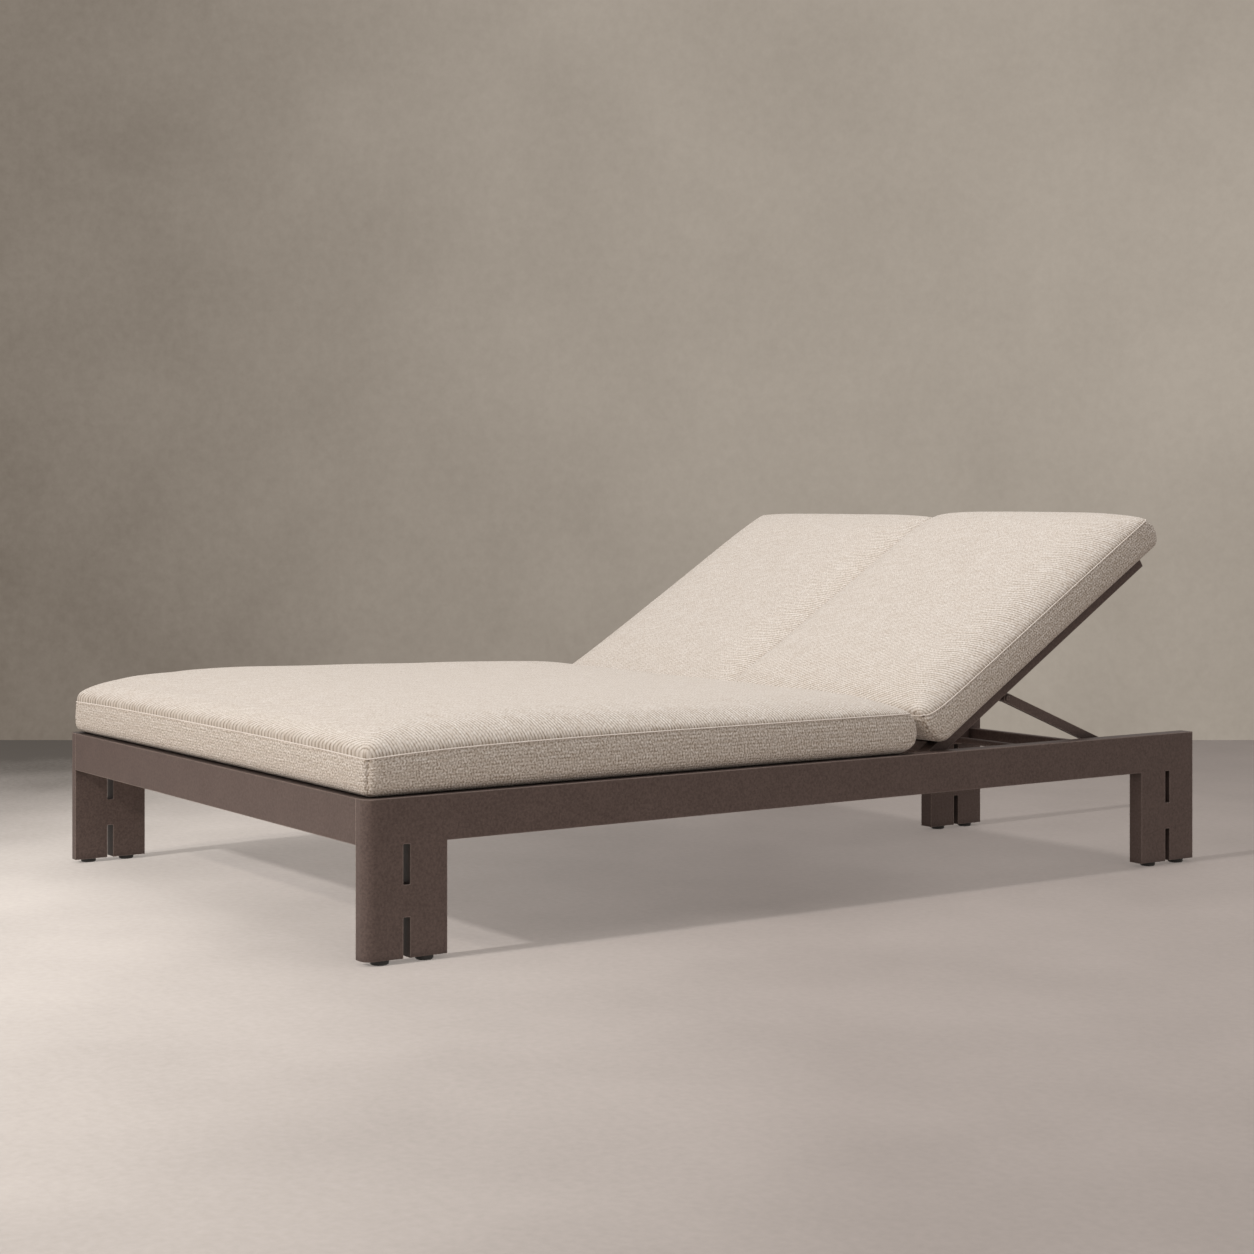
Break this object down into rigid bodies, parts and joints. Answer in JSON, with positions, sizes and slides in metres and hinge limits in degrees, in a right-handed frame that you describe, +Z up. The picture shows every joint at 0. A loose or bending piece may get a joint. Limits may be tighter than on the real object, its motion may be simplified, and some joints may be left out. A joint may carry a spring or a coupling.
{
  "type": "double chaise lounger",
  "caption": "Low double-width chaise on slotted plate legs, with a shared seat cushion and separately reclining backs held by notched struts.",
  "frame": {"origin": "on the floor, under the middle of the frame's length and width", "axes": "+Z up, +Y from the foot end towards the head end, +X towards the right half"},
  "size_m": [1.39, 2.05, 0.7592],
  "materials": {
    "brown_powder_coat": "fine-textured matte powder coat on aluminium",
    "cushion_fabric": "heathered woven outdoor fabric",
    "black_nylon": "moulded nylon, matte",
    "black_rubber": "matte moulded rubber",
    "bush_nylon": "turned nylon, satin",
    "stainless_steel": "brushed stainless steel"
  },
  "bodies": {
    "back_left": {"back_bottom_rail_left": "brown_powder_coat", "back_bumpers_left": "black_rubber", "back_cushion_left": "cushion_fabric", "back_slats_left": "brown_powder_coat", "back_stile_left_inner": "brown_powder_coat", "back_stile_left_outer": "brown_powder_coat", "back_top_rail_left": "brown_powder_coat", "hinge_bushes_left": "bush_nylon", "strut_pins_left": "brown_powder_coat", "strut_tab_left_inner": "brown_powder_coat", "strut_tab_left_outer": "brown_powder_coat"},
    "back_right": {"back_bottom_rail_right": "brown_powder_coat", "back_bumpers_right": "black_rubber", "back_cushion_right": "cushion_fabric", "back_slats_right": "brown_powder_coat", "back_stile_right_inner": "brown_powder_coat", "back_stile_right_outer": "brown_powder_coat", "back_top_rail_right": "brown_powder_coat", "hinge_bushes_right": "bush_nylon", "strut_pins_right": "brown_powder_coat", "strut_tab_right_inner": "brown_powder_coat", "strut_tab_right_outer": "brown_powder_coat"},
    "base": {"brace_rail_left": "brown_powder_coat", "brace_rail_right": "brown_powder_coat", "centre_beam": "brown_powder_coat", "foot_rail": "brown_powder_coat", "glides_centre": "black_nylon", "glides_foot_left": "black_nylon", "glides_foot_right": "black_nylon", "glides_head_left": "black_nylon", "glides_head_right": "black_nylon", "head_rail_left": "brown_powder_coat", "head_rail_right": "brown_powder_coat", "hinge_lug_left_inner": "brown_powder_coat", "hinge_lug_left_outer": "brown_powder_coat", "hinge_lug_right_inner": "brown_powder_coat", "hinge_lug_right_outer": "brown_powder_coat", "hinge_pins_left": "stainless_steel", "hinge_pins_right": "stainless_steel", "hinge_rail_left": "brown_powder_coat", "hinge_rail_right": "brown_powder_coat", "rack_left_inner": "brown_powder_coat", "rack_left_outer": "brown_powder_coat", "rack_right_inner": "brown_powder_coat", "rack_right_outer": "brown_powder_coat", "seat_cleat_left_inner": "brown_powder_coat", "seat_cleat_left_outer": "brown_powder_coat", "seat_cleat_right_inner": "brown_powder_coat", "seat_cleat_right_outer": "brown_powder_coat", "seat_cushion": "cushion_fabric", "seat_slats_left": "brown_powder_coat", "seat_slats_right": "brown_powder_coat", "side_panel_left": "brown_powder_coat", "side_panel_right": "brown_powder_coat"},
    "strut_left": {"strut_arm_left_inner": "brown_powder_coat", "strut_arm_left_outer": "brown_powder_coat", "strut_bar_left": "brown_powder_coat"},
    "strut_right": {"strut_arm_right_inner": "brown_powder_coat", "strut_arm_right_outer": "brown_powder_coat", "strut_bar_right": "brown_powder_coat"}
  },
  "joints": [
    {"name": "back_right_recline", "type": "hinge", "parent": "base", "child": "back_right", "pos_m": [0.33875, 0.288, 0.272], "axis": [1, 0, 0], "range_deg": [-32.5, 17.5]},
    {"name": "strut_right_swing", "type": "hinge", "parent": "back_right", "child": "strut_right", "pos_m": [0.33875, 0.51153, 0.3818], "axis": [1, 0, 0], "range_deg": [-27.3, 50.7]},
    {"name": "back_left_recline", "type": "hinge", "parent": "base", "child": "back_left", "pos_m": [-0.33875, 0.288, 0.272], "axis": [1, 0, 0], "range_deg": [-32.5, 17.5]},
    {"name": "strut_left_swing", "type": "hinge", "parent": "back_left", "child": "strut_left", "pos_m": [-0.33875, 0.51153, 0.3818], "axis": [1, 0, 0], "range_deg": [-27.3, 50.7]}
  ],
  "couplings": [
    {"joint": "strut_right_swing", "follows": "back_right_recline", "ratio": -1.56},
    {"joint": "strut_left_swing", "follows": "back_left_recline", "ratio": -1.56}
  ]
}
